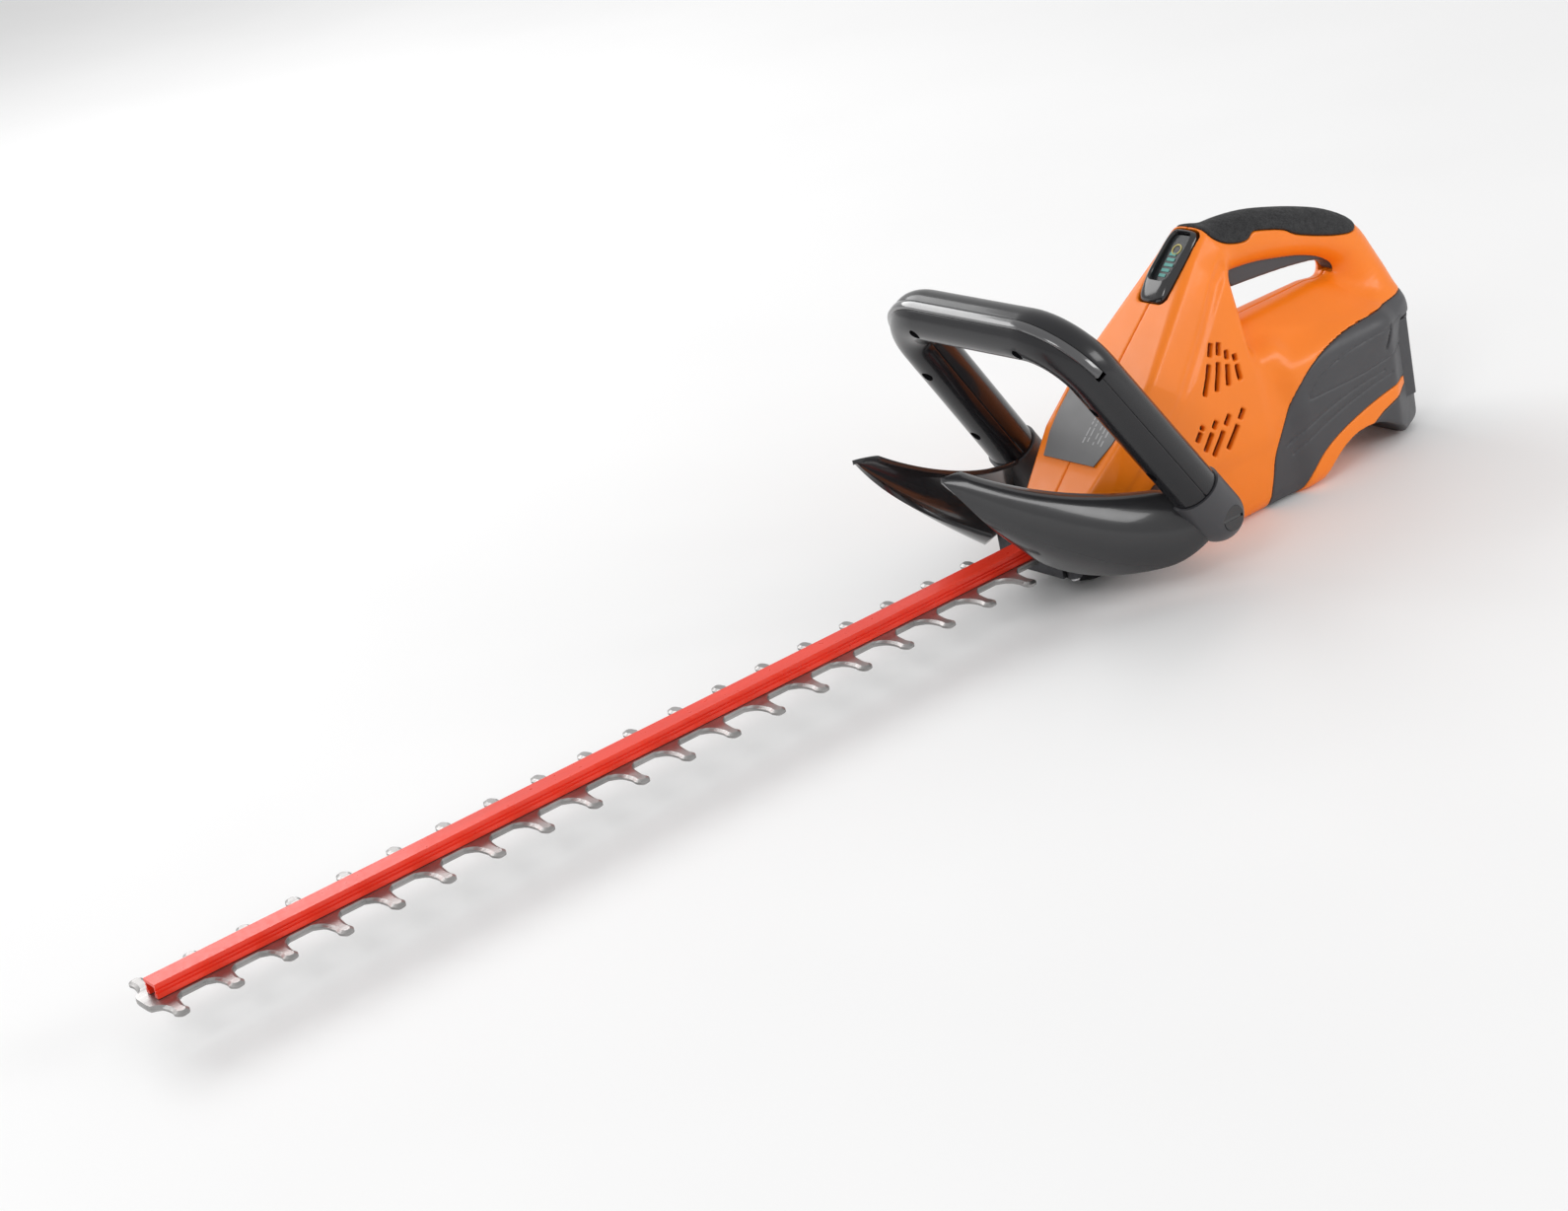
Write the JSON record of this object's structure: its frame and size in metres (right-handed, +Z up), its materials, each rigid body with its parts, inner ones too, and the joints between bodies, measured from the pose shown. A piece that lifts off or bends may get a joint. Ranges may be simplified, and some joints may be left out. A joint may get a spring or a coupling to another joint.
{
  "type": "hedge trimmer",
  "caption": "Cordless hedge trimmer with two sliding toothed blades under a rail, a hoop front handle, a guard and a rear handle with a lever trigger.",
  "frame": {"origin": "centre of the gear case's flat foot, on the plane the tool rests on, under the drive gear's axis", "axes": "+X along the blades towards their tip, +Y to the tool's left, +Z up"},
  "size_m": [1.053, 0.2232, 0.2191],
  "materials": {
    "orange_shell": "smooth satin gloss",
    "soft_grip": "fine moulded texture",
    "grey_panel": "fine satin texture",
    "switch_strip": "satin",
    "label": "printed foil, matte",
    "gloss_black": "polished",
    "black_plastic": "plain",
    "circuit_board": "solder mask",
    "window": "clear acrylic",
    "ground_steel": "ground",
    "plain_steel": "plain",
    "motor_steel": "plain",
    "magnet": "dull",
    "case_alloy": "die cast, dark",
    "red_rail": "red powder coat over aluminium",
    "cell_wrap": "plastic sleeve over a metal can",
    "contact": "plated",
    "felt": "dense felt"
  },
  "bodies": {
    "body": {"housing_left": "orange_shell", "housing_right": "orange_shell", "housing_screws": "plain_steel", "grip_overmold": "soft_grip", "side_panel_left": "grey_panel", "side_panel_right": "grey_panel", "label_plate": "label", "display_bezel": "gloss_black", "display_board": "circuit_board", "display_window": "window", "guard": "gloss_black", "guard_screws": "plain_steel", "foot_left": "grey_panel", "foot_right": "grey_panel", "foot_caps": "gloss_black", "hoop_rear_shell": "grey_panel", "hoop_front_shell": "grey_panel", "hoop_screws": "plain_steel", "switch_bar_springs": "plain_steel", "hoop_switch": "black_plastic", "trigger_pin": "plain_steel", "trigger_spring": "plain_steel", "trigger_switch": "black_plastic", "receiver_block": "black_plastic", "control_board": "circuit_board", "motor_can": "motor_steel", "motor_magnets": "magnet", "motor_bearings": "plain_steel", "gear_case_upper": "case_alloy", "gear_case_lower": "case_alloy", "gear_case_screws": "plain_steel", "gear_bearings": "plain_steel", "rail": "red_rail", "blade_bolts": "plain_steel", "blade_nuts": "plain_steel", "blade_seal": "felt"},
    "upper_blade": {"upper_blade": "ground_steel", "upper_teeth": "ground_steel"},
    "lower_blade": {"lower_blade": "ground_steel", "lower_teeth": "ground_steel"},
    "drive_gear": {"drive_gear": "plain_steel", "upper_eccentric": "plain_steel", "lower_eccentric": "plain_steel", "gear_shaft": "plain_steel"},
    "motor_rotor": {"motor_rotor": "motor_steel", "motor_shaft": "plain_steel", "motor_pinion": "plain_steel", "motor_fan": "black_plastic"},
    "rear_trigger": {"rear_trigger": "grey_panel"},
    "switch_bar": {"switch_bar": "switch_strip"},
    "battery": {"battery_case": "grey_panel", "battery_cells": "cell_wrap", "battery_terminals": "contact", "latch_spring": "plain_steel"},
    "battery_latch": {"battery_latch": "grey_panel"}
  },
  "joints": [
    {"name": "upper_blade_slide", "type": "slide", "parent": "body", "child": "upper_blade", "axis": [-1, 0, 0], "range_m": [0, 0.018]},
    {"name": "lower_blade_slide", "type": "slide", "parent": "body", "child": "lower_blade", "axis": [1, 0, 0], "range_m": [0, 0.018]},
    {"name": "gear_spin", "type": "hinge", "parent": "body", "child": "drive_gear", "pos_m": [0, 0, 0.035], "axis": [0, 0, 1], "continuous": true},
    {"name": "motor_spin", "type": "hinge", "parent": "body", "child": "motor_rotor", "pos_m": [-0.03, 0, 0.06], "axis": [0, 0, 1], "continuous": true},
    {"name": "trigger_pull", "type": "hinge", "parent": "body", "child": "rear_trigger", "pos_m": [-0.262, 0, 0.152], "axis": [0, -1, 0], "range_deg": [0, 6], "stiffness_Nm_per_rad": 0.6, "springref_deg": -14.32},
    {"name": "switch_bar_press", "type": "slide", "parent": "body", "child": "switch_bar", "axis": [-0.5225, 0, -0.8526], "range_m": [0, 0.003], "stiffness_N_per_m": 400, "springref_m": -0.004},
    {"name": "battery_slide", "type": "slide", "parent": "body", "child": "battery", "axis": [-1, 0, 0], "range_m": [0, 0.125]},
    {"name": "battery_latch_press", "type": "slide", "parent": "battery", "child": "battery_latch", "axis": [1, 0, 0], "range_m": [0, 0.003], "stiffness_N_per_m": 400, "springref_m": -0.003}
  ],
  "couplings": [
    {"joint": "lower_blade_slide", "follows": "upper_blade_slide", "ratio": 1},
    {"joint": "motor_spin", "follows": "gear_spin", "ratio": -5}
  ]
}
